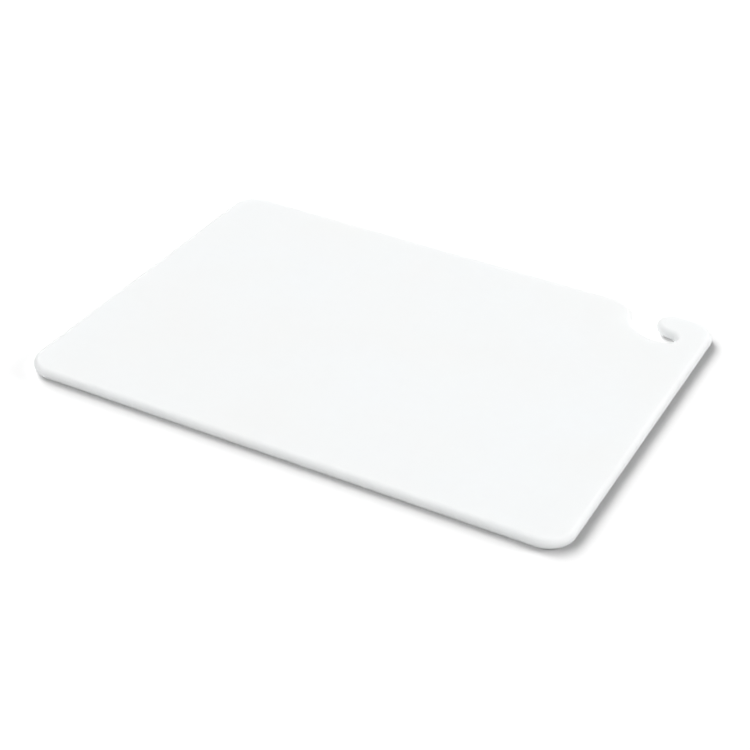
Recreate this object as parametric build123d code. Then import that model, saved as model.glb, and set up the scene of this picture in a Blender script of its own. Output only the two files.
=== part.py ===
"""One-piece plastic cutting board with a carrying hook cut through one back corner.

Frame, in millimetres: the origin is the middle of the underside, X runs along the long side, Y runs
from front to back and Z points up. The hook is in the corner at +X and +Y, and opens onto the back
edge. The board is one homogeneous moulding, so it is one solid.
"""
from build123d import *
import math
import os

# The slab
LENGTH = 609.6             # 24 inches, along X
WIDTH = 457.2              # 18 inches, along Y
THICKNESS = 12.7           # half an inch
CORNER_RADIUS = 30.5       # the four corners, seen from above
EDGE_RADIUS = 6.0          # roundover of every upper and lower edge, nearly a full half-round

# The hook, seen from above
NOSE_RADIUS = 18.5         # rounded end of the finger, as wide as the finger itself
NOSE_FROM_END = 47.0       # middle of the finger's rounded end to the board's right-hand end
THROAT_RADIUS = 12.0       # round pocket behind the finger, in which a rod rests
NOTCH_RADIUS = 41.5        # big sweep from the throat up to the back edge
NOTCH_BEARING = 98.5       # degrees, from the middle of the throat to the middle of the sweep
SHOULDER_RADIUS = 37.0     # outward curve from the sweep into the back edge

JOINED = 1e-6              # curve ends nearer than this already meet


def arc(centre, radius, start, end):
    """An arc in plan, from one bearing to another in degrees: clockwise when end is less than start."""
    return CenterArc(centre, radius, start, end - start)


def corner(x_side, y_side, start):
    """One rounded corner of the slab, a quarter turn anticlockwise from the bearing start."""
    centre = (x_side * (LENGTH / 2 - CORNER_RADIUS), y_side * (WIDTH / 2 - CORNER_RADIUS))
    return arc(centre, CORNER_RADIUS, start, start + 90)


def hook():
    """The hook's four tangent arcs, from the back edge round the finger and back to the back edge."""
    nose = Vector(LENGTH / 2 - NOSE_FROM_END, WIDTH / 2 - NOSE_RADIUS)
    throat = nose - Vector(0, NOSE_RADIUS + THROAT_RADIUS)
    to_notch = Vector(1, 0).rotate(Axis.Z, NOTCH_BEARING)
    notch = throat + to_notch * (NOTCH_RADIUS - THROAT_RADIUS)

    # The shoulder touches the back edge and the sweep, so its middle follows from both.
    shoulder_y = WIDTH / 2 - SHOULDER_RADIUS
    reach = NOTCH_RADIUS + SHOULDER_RADIUS
    shoulder = Vector(notch.X - math.sqrt(reach**2 - (notch.Y - shoulder_y) ** 2), shoulder_y)
    to_shoulder = math.degrees(math.atan2(shoulder.Y - notch.Y, shoulder.X - notch.X)) % 360
    throat_end = NOTCH_BEARING - 180

    return [
        arc(nose, NOSE_RADIUS, 90, 270),
        arc(throat, THROAT_RADIUS, 90, throat_end),
        arc(notch, NOTCH_RADIUS, throat_end, to_shoulder - 360),
        arc(shoulder, SHOULDER_RADIUS, to_shoulder - 180, 90),
    ]


def outline():
    """The board's closed outline: its arcs in order, anticlockwise, with straight runs between."""
    arcs = [corner(-1, -1, 180), corner(1, -1, 270), corner(1, 1, 0), *hook(), corner(-1, 1, 90)]
    edges = []
    for curve, following in zip(arcs, arcs[1:] + arcs[:1]):
        edges.append(curve)
        if (following @ 0 - curve @ 1).length > JOINED:
            edges.append(Line(curve @ 1, following @ 0))
    return Wire(edges)


def cutting_board():
    """The whole board: the outline at full thickness, with every upper and lower edge rounded."""
    slab = extrude(make_face(outline()), THICKNESS)
    flat_faces = slab.faces().filter_by(Axis.Z)
    return fillet(flat_faces.edges(), EDGE_RADIUS)


os.makedirs("parts", exist_ok=True)
board = cutting_board()
export_step(board, "parts/cutting_board.step")
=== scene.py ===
"""The cutting board as it looks: a finely moulded white plastic slab on a pale floor in soft studio light.

Everything is in metres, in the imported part's own frame: origin in the middle of the underside, X along
the long side, Y from front to back, Z up.
"""

import math

import bpy
from mathutils import Matrix, Vector
from mathutils.geometry import delaunay_2d_cdt


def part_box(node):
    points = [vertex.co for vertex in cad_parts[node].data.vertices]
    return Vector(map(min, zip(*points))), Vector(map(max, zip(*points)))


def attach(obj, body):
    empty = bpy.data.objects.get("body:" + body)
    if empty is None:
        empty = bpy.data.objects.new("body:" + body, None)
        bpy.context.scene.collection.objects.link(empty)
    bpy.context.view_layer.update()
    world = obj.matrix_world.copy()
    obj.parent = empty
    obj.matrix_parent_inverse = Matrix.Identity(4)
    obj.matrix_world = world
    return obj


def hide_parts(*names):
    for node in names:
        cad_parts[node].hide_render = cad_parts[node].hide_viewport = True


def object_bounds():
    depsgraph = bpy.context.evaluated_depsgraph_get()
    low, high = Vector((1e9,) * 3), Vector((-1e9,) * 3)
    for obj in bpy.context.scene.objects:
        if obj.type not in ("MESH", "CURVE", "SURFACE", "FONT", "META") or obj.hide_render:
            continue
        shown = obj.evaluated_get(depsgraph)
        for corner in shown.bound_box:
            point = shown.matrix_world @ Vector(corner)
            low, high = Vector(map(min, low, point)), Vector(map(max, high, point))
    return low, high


MM = 0.001
PLATE_NODE = "cutting_board"

# The board's driving dimensions that its box doesn't give, the same as in the CAD source.
CORNER_RADIUS = 30.5 * MM
EDGE_RADIUS = 6.0 * MM
NOSE_RADIUS = 18.5 * MM
NOSE_FROM_END = 47.0 * MM
THROAT_RADIUS = 12.0 * MM
NOTCH_RADIUS = 41.5 * MM
NOTCH_BEARING = 98.5        # degrees
SHOULDER_RADIUS = 37.0 * MM

# How finely the mesh follows them.
ARC_STEP = 3.0              # degrees along the outline's arcs
RUN_STEP = 6.0 * MM         # along its straight runs
ROUNDOVER_STEPS = 12        # across each quarter-round edge
FACE_STEP = 8.0 * MM        # between points inside the flat faces
RIM_CLEARANCE = 0.6         # of a face step, between those points and the faces' rims
JOINED = 0.001 * MM         # curve ends nearer than this already meet

# Lights far away in the directions (bearing from straight in front, elevation), all in degrees.
# The width is how wide each one looks from the board, and the strength is in watts a square metre.
# The floor's lights cast the shadow in front of the board and on its right. The board has its own,
# one from each side, so that all its edges stay readable on the white floor.
LIGHTS = {
    "floor": {
        "key": {"bearing": 240, "elevation": 31, "width": 38, "strength": 2.34},
        "top": {"bearing": 250, "elevation": 52, "width": 44, "strength": 1.56},
        "fill": {"bearing": 314, "elevation": 31, "width": 34, "strength": 1.17},
        "kicker": {"bearing": 125, "elevation": 12, "width": 32, "strength": 2.44},
    },
    "board": {
        "front": {"bearing": 0, "elevation": 60, "width": 50, "strength": 1.10},
        "right": {"bearing": 90, "elevation": 38, "width": 50, "strength": 1.48},
        "back": {"bearing": 180, "elevation": 45, "width": 50, "strength": 1.17},
        "left": {"bearing": 270, "elevation": 45, "width": 50, "strength": 1.02},
    },
}
SURROUND_STRENGTH = 0.03

# The camera looks at a point on the floor close to the middle of the board.
CAMERA_AIM = Vector((0.0129, -0.0407, 0.0))
CAMERA_BEARING = 25.625     # degrees from straight in front, towards the right-hand end
CAMERA_ELEVATION = 32.735   # degrees above the floor
CAMERA_DISTANCE = 1.866
CAMERA_ROLL = 3.092         # degrees
CAMERA_LENS = 84.547        # millimetres
CAMERA_SENSOR = 36.0        # millimetres wide

# The plastic and the paper under it. The sizes are of the features in each pattern.
WARM_WHITE = (0.832, 0.840, 0.836, 1)
COOL_WHITE = (0.833, 0.852, 0.859, 1)
MOTTLE_WHITE = (0.822, 0.832, 0.834, 1)
MOTTLE_SHARE = 0.35         # how much of the mottle's colour its strongest spots take
CLOUD_SIZE = 150 * MM       # slow drift of the tone over the whole board
MOTTLE_SIZE = 12 * MM
SHEEN_SIZE = 25 * MM
GRAIN_SIZE = 1.2 * MM       # moulded grain of the two faces
GRAIN_DEPTH = 0.04 * MM
EDGE_GRAIN = 0.25           # strength of that grain on the rounded edge
FACE_ROUGHNESS = (0.56, 0.68)
EDGE_ROUGHNESS = (0.42, 0.50)
NOISE_SPREAD = (0.3, 0.7)   # the range that most of a noise's values lie in
PLASTIC_IOR = 1.5
PLASTIC_SPECULAR = 0.2
GLOW_DEPTH = 9 * MM         # how far light spreads inside the plastic
FLATNESS = "flatness"       # mesh attribute: 1 on the faces, 0 halfway down the rounded edge
FACE_FADE = (0.80, 0.97)    # the flatness where the look of the faces fades in and where it is complete
FLOOR_WHITE = (0.95, 0.95, 0.95, 1)
# Painted light: the floor itself glows, with no lamp, in a soft round patch inside the hook, in place of
# the shadow the board casts there.
HOOK_PAINTED_GLOW = (-83 * MM, -34 * MM)    # middle of the glow painted on the floor inside the hook, from the back right corner
HOOK_PAINTED_GLOW_RADIUS = 31 * MM
HOOK_PAINTED_GLOW_CORE = 0.4        # of that radius, inside which the painted glow is at full strength
HOOK_PAINTED_GLOW_STRENGTH = 0.6
FLOOR_HALF = 60.0
FLOOR_GAP = 0.1 * MM        # the floor lies this far under the board, so that the two never coincide


# --- The board's outline, seen from above ---


def polar(centre, radius, bearing):
    """The point that far from centre, at a bearing in degrees."""
    angle = math.radians(bearing)
    return Vector((centre[0] + radius * math.cos(angle), centre[1] + radius * math.sin(angle)))


def arc(centre, radius, start, end, hollow=False):
    """Points along an arc, each with the direction that points away from the plastic."""
    count = max(2, round(abs(end - start) / ARC_STEP))
    side = -1 if hollow else 1
    ring = []
    for i in range(count + 1):
        bearing = start + (end - start) * i / count
        ring.append((polar(centre, radius, bearing), side * polar((0, 0), 1, bearing)))
    return ring


def corner(x_side, y_side, x, y, start):
    """One rounded corner of the slab, a quarter turn anticlockwise from the bearing start."""
    centre = (x_side * (x - CORNER_RADIUS), y_side * (y - CORNER_RADIUS))
    return arc(centre, CORNER_RADIUS, start, start + 90)


def hook(x, y):
    """The hook's four tangent arcs, from the back edge round the finger and back to the back edge."""
    nose = Vector((x - NOSE_FROM_END, y - NOSE_RADIUS))
    throat = nose - Vector((0, NOSE_RADIUS + THROAT_RADIUS))
    notch = polar(throat, NOTCH_RADIUS - THROAT_RADIUS, NOTCH_BEARING)

    # The shoulder touches the back edge and the sweep, so its middle follows from both.
    shoulder_y = y - SHOULDER_RADIUS
    reach = NOTCH_RADIUS + SHOULDER_RADIUS
    shoulder = Vector((notch.x - math.sqrt(reach**2 - (notch.y - shoulder_y) ** 2), shoulder_y))
    to_shoulder = math.degrees(math.atan2(shoulder.y - notch.y, shoulder.x - notch.x)) % 360
    throat_end = NOTCH_BEARING - 180

    return [
        arc(nose, NOSE_RADIUS, 90, 270),
        arc(throat, THROAT_RADIUS, 90, throat_end, hollow=True),
        arc(notch, NOTCH_RADIUS, throat_end, to_shoulder - 360, hollow=True),
        arc(shoulder, SHOULDER_RADIUS, to_shoulder - 180, 90),
    ]


def outline(x, y):
    """The closed outline of a board that reaches x and y from its middle: (point, outward direction)."""
    arcs = [corner(-1, -1, x, y, 180), corner(1, -1, x, y, 270), corner(1, 1, x, y, 0)]
    arcs += hook(x, y)
    arcs.append(corner(-1, 1, x, y, 90))
    ring = []
    for curve, following in zip(arcs, arcs[1:] + arcs[:1]):
        ring.extend(curve[:-1])
        end, outward = curve[-1]
        run = following[0][0] - end
        if run.length > JOINED:
            steps = math.ceil(run.length / RUN_STEP)
            ring.extend((end + run * i / steps, outward) for i in range(steps))
    return ring


# --- The mesh ---


def edge_section(thickness):
    """The rounded edge from the upper face to the lower one: (inset, height, outward, upward)."""
    section = []
    for middle, start in ((thickness - EDGE_RADIUS, 0), (EDGE_RADIUS, 90)):
        for i in range(ROUNDOVER_STEPS + 1):
            angle = math.radians(start + 90 * i / ROUNDOVER_STEPS)
            outward, upward = math.sin(angle), math.cos(angle)
            inset = EDGE_RADIUS * (1 - outward)
            section.append((inset, middle + EDGE_RADIUS * upward, outward, upward))
    return section


def face_triangles(rim):
    """An even lattice of points inside a closed rim, and the triangles that fill the rim with them."""
    xs = [point.x for point in rim]
    ys = [point.y for point in rim]
    row_height = FACE_STEP * math.sqrt(3) / 2
    rows = math.ceil((max(ys) - min(ys)) / row_height)
    columns = math.ceil((max(xs) - min(xs)) / FACE_STEP)
    lattice = []
    for row in range(rows + 1):
        for column in range(columns + 1):
            x = min(xs) + (column + 0.5 * (row % 2)) * FACE_STEP
            lattice.append(Vector((x, min(ys) + row * row_height)))
    clear = RIM_CLEARANCE * FACE_STEP
    lattice = [spot for spot in lattice if all((spot - point).length > clear for point in rim)]
    loop = list(range(len(rim)))
    points, _, triangles, origins, _, _ = delaunay_2d_cdt(rim + lattice, [], [loop], 1, 1e-9)
    return points, triangles, origins


class Shell:
    """The board's vertices, normals and faces while they are put together."""

    def __init__(self, low, high):
        self.centre = (low + high) / 2
        self.low, self.high = low, high
        self.ring = outline((high.x - low.x) / 2, (high.y - low.y) / 2)
        self.section = edge_section(high.z - low.z)
        self.verts, self.normals, self.flat, self.faces = [], [], [], []

    def add(self, spot, z, normal, flat):
        self.verts.append((self.centre.x + spot.x, self.centre.y + spot.y, z))
        self.normals.append(normal)
        self.flat.append(flat)
        return len(self.verts) - 1

    def add_edge(self):
        """The rounded edge all the way round, one ring of vertices for each step of its section."""
        for inset, height, outward, upward in self.section:
            for point, direction in self.ring:
                normal = (direction.x * outward, direction.y * outward, upward)
                self.add(point - direction * inset, self.low.z + height, normal, abs(upward))
        count = len(self.ring)
        for level in range(len(self.section) - 1):
            upper, lower = level * count, (level + 1) * count
            for i in range(count):
                j = (i + 1) % count
                self.faces.append((upper + i, lower + i, lower + j, upper + j))

    def add_face(self, z, upward, first):
        """One flat face, joined to the ring of edge vertices that starts at the index first."""
        inset = self.section[0][0]
        rim = [point - direction * inset for point, direction in self.ring]
        points, triangles, origins = face_triangles(rim)
        index = {}
        for k in sorted({k for triangle in triangles for k in triangle}):
            on_rim = [i for i in origins[k] if i < len(rim)]
            index[k] = first + on_rim[0] if on_rim else self.add(points[k], z, (0, 0, upward), 1.0)
        for triangle in triangles:
            corners = [index[k] for k in triangle]
            self.faces.append(corners if upward > 0 else corners[::-1])

    def mesh(self, name):
        made = bpy.data.meshes.new(name)
        made.from_pydata(self.verts, [], self.faces)
        made.shade_smooth()
        made.normals_split_custom_set_from_vertices(self.normals)
        flatness = made.attributes.new(FLATNESS, "FLOAT", "POINT")
        flatness.data.foreach_set("value", self.flat)
        return made


def build_board(low, high):
    """The whole board, with exact normals on its rounded edges."""
    shell = Shell(low, high)
    shell.add_edge()
    last_ring = (len(shell.section) - 1) * len(shell.ring)
    shell.add_face(high.z, 1, 0)
    shell.add_face(low.z, -1, last_ring)
    board = bpy.data.objects.new("board", shell.mesh("board"))
    bpy.context.scene.collection.objects.link(board)
    return board


# --- Materials ---


class Material:
    """A node material with a Principled shader, and short ways to add the nodes that feed it."""

    def __init__(self, name):
        self.material = bpy.data.materials.new(name)
        self.material.use_nodes = True
        self.tree = self.material.node_tree
        self.shader = self.tree.nodes["Principled BSDF"]
        self.place = self.node("ShaderNodeTexCoord").outputs["Object"]

    def node(self, kind, **inputs):
        made = self.tree.nodes.new(kind)
        for name, value in inputs.items():
            self.feed(made.inputs[name.replace("_", " ")], value)
        return made

    def feed(self, socket, value):
        if isinstance(value, bpy.types.NodeSocket):
            self.tree.links.new(value, socket)
        else:
            socket.default_value = value

    def noise(self, feature, detail=2.0, roughness=0.5):
        """Noise between 0 and 1 with features of about that size, in metres."""
        made = self.node("ShaderNodeTexNoise", Scale=1 / feature, Detail=detail, Roughness=roughness)
        self.tree.links.new(self.place, made.inputs["Vector"])
        return made.outputs["Fac"]

    def rescale(self, value, from_low, from_high, to_low, to_high):
        """Value taken from one range to another, and kept inside it."""
        made = self.node("ShaderNodeMapRange")
        self.feed(made.inputs["Value"], value)
        ends = {"From Min": from_low, "From Max": from_high, "To Min": to_low, "To Max": to_high}
        for name, end in ends.items():
            self.feed(made.inputs[name], end)
        return made.outputs["Result"]

    def blend(self, amount, first, second):
        """A colour from first to second as amount goes from 0 to 1."""
        made = self.node("ShaderNodeMix")
        made.data_type = "RGBA"
        self.feed(made.inputs[0], amount)
        self.feed(made.inputs[6], first)
        self.feed(made.inputs[7], second)
        return made.outputs[2]


def board_plastic():
    """White polyethylene: slightly translucent, with a fine moulded grain and a smoother rounded edge."""
    plastic = Material("board_plastic")
    flatness = plastic.node("ShaderNodeAttribute")
    flatness.attribute_name = FLATNESS
    on_face = plastic.rescale(flatness.outputs["Fac"], *FACE_FADE, 0, 1)

    cloud = plastic.rescale(plastic.noise(CLOUD_SIZE), *NOISE_SPREAD, 0, 1)
    mottle = plastic.rescale(plastic.noise(MOTTLE_SIZE, detail=3), *NOISE_SPREAD, 0, 1)
    tone = plastic.blend(cloud, WARM_WHITE, COOL_WHITE)
    tone = plastic.blend(plastic.rescale(mottle, 0, 1, 0, MOTTLE_SHARE), tone, MOTTLE_WHITE)
    plastic.feed(plastic.shader.inputs["Base Color"], tone)

    sheen = plastic.noise(SHEEN_SIZE, detail=3)
    face_roughness = plastic.rescale(sheen, *NOISE_SPREAD, *FACE_ROUGHNESS)
    edge_roughness = plastic.rescale(mottle, 0, 1, *EDGE_ROUGHNESS)
    roughness = plastic.rescale(on_face, 0, 1, edge_roughness, face_roughness)
    plastic.feed(plastic.shader.inputs["Roughness"], roughness)

    grain = plastic.node("ShaderNodeBump", Distance=GRAIN_DEPTH)
    plastic.feed(grain.inputs["Height"], plastic.noise(GRAIN_SIZE, detail=3, roughness=0.6))
    plastic.feed(grain.inputs["Strength"], plastic.rescale(on_face, 0, 1, EDGE_GRAIN, 1.0))
    plastic.feed(plastic.shader.inputs["Normal"], grain.outputs["Normal"])

    plastic.shader.inputs["IOR"].default_value = PLASTIC_IOR
    plastic.shader.inputs["Specular IOR Level"].default_value = PLASTIC_SPECULAR
    plastic.shader.inputs["Subsurface Weight"].default_value = 1.0
    plastic.shader.inputs["Subsurface Radius"].default_value = (1.0, 1.0, 1.0)
    plastic.shader.inputs["Subsurface Scale"].default_value = GLOW_DEPTH
    return plastic.material


def floor_paper_with_painted_glow(spot):
    """Matt white paper with a soft round glow painted into it inside the hook, so that no shadow shows
    there.
    """
    paper = Material("floor_paper_with_painted_glow")
    paper.feed(paper.shader.inputs["Base Color"], FLOOR_WHITE)
    paper.shader.inputs["Roughness"].default_value = 1.0
    paper.shader.inputs["Specular IOR Level"].default_value = 0.0

    # Painted light: the paper glows white, evenly inside the core and fading to nothing at the radius, to
    # cover the shadow inside the hook.
    away = paper.node("ShaderNodeVectorMath")
    away.operation = "DISTANCE"
    paper.feed(away.inputs[0], paper.place)
    paper.feed(away.inputs[1], spot)
    core = HOOK_PAINTED_GLOW_CORE * HOOK_PAINTED_GLOW_RADIUS
    strength = paper.rescale(away.outputs["Value"], core, HOOK_PAINTED_GLOW_RADIUS, HOOK_PAINTED_GLOW_STRENGTH, 0)
    paper.feed(paper.shader.inputs["Emission Color"], FLOOR_WHITE)
    paper.feed(paper.shader.inputs["Emission Strength"], strength)
    return paper.material


# --- The studio ---


def direction_to(bearing, elevation):
    """Unit vector from the board towards a bearing from straight in front and an elevation, in degrees."""
    b, e = math.radians(bearing), math.radians(elevation)
    return Vector((math.sin(b) * math.cos(e), -math.cos(b) * math.cos(e), math.sin(e)))


def add_floor(z, back_right):
    """A wide sheet of paper at that height, with its painted glow placed from the board's back right
    corner.
    """
    mesh = bpy.data.meshes.new("floor")
    reach = (-FLOOR_HALF, FLOOR_HALF)
    mesh.from_pydata([(x, y, z) for x in reach for y in reach], [], [(0, 2, 3, 1)])
    # Centre of the glow painted into the floor inside the hook.
    spot = (back_right.x + HOOK_PAINTED_GLOW[0], back_right.y + HOOK_PAINTED_GLOW[1], z)
    mesh.materials.append(floor_paper_with_painted_glow(spot))
    floor = bpy.data.objects.new("floor", mesh)
    bpy.context.scene.collection.objects.link(floor)
    return floor


def add_light(name, receivers, bearing, elevation, width, strength):
    """A broad soft light, far away, that shines on the objects of one collection only."""
    data = bpy.data.lights.new(name, "SUN")
    data.angle = math.radians(width)
    data.energy = strength
    light = bpy.data.objects.new(name, data)
    towards = -direction_to(bearing, elevation)
    light.matrix_world = towards.to_track_quat("-Z", "Y").to_matrix().to_4x4()
    light.light_linking.receiver_collection = receivers
    bpy.context.scene.collection.objects.link(light)


def light_object(lit):
    """The lights that are listed for an object under its name."""
    receivers = bpy.data.collections.new(lit.name + "_receives")
    receivers.objects.link(lit)
    for name, light in LIGHTS[lit.name].items():
        add_light(name, receivers, **light)


def add_surround(strength):
    """A faint even light from all round."""
    world = bpy.data.worlds.new("surround")
    world.use_nodes = True
    background = world.node_tree.nodes["Background"]
    background.inputs["Color"].default_value = (1, 1, 1, 1)
    background.inputs["Strength"].default_value = strength
    bpy.context.scene.world = world


def add_camera():
    outward = direction_to(CAMERA_BEARING, CAMERA_ELEVATION)
    data = bpy.data.cameras.new("camera")
    data.sensor_width = CAMERA_SENSOR
    data.lens = CAMERA_LENS
    camera = bpy.data.objects.new("camera", data)
    roll = Matrix.Rotation(math.radians(CAMERA_ROLL), 3, "Z")
    turn = (-outward).to_track_quat("-Z", "Y").to_matrix() @ roll
    camera.matrix_world = Matrix.Translation(CAMERA_AIM + outward * CAMERA_DISTANCE) @ turn.to_4x4()
    bpy.context.scene.collection.objects.link(camera)
    bpy.context.scene.camera = camera


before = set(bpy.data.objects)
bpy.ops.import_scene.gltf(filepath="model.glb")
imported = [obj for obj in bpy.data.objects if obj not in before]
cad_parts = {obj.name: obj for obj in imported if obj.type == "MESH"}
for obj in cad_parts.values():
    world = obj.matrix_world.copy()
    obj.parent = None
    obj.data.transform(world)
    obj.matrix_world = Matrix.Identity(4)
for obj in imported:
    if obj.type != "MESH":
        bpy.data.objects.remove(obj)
cad_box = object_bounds()

board = build_board(*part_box(PLATE_NODE))
board.data.materials.append(board_plastic())
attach(board, "root")
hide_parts(PLATE_NODE)

floor = add_floor(cad_box[0].z - FLOOR_GAP, cad_box[1])
light_object(floor)
light_object(board)
add_surround(SURROUND_STRENGTH)
add_camera()
bpy.context.scene.view_settings.view_transform = "Standard"
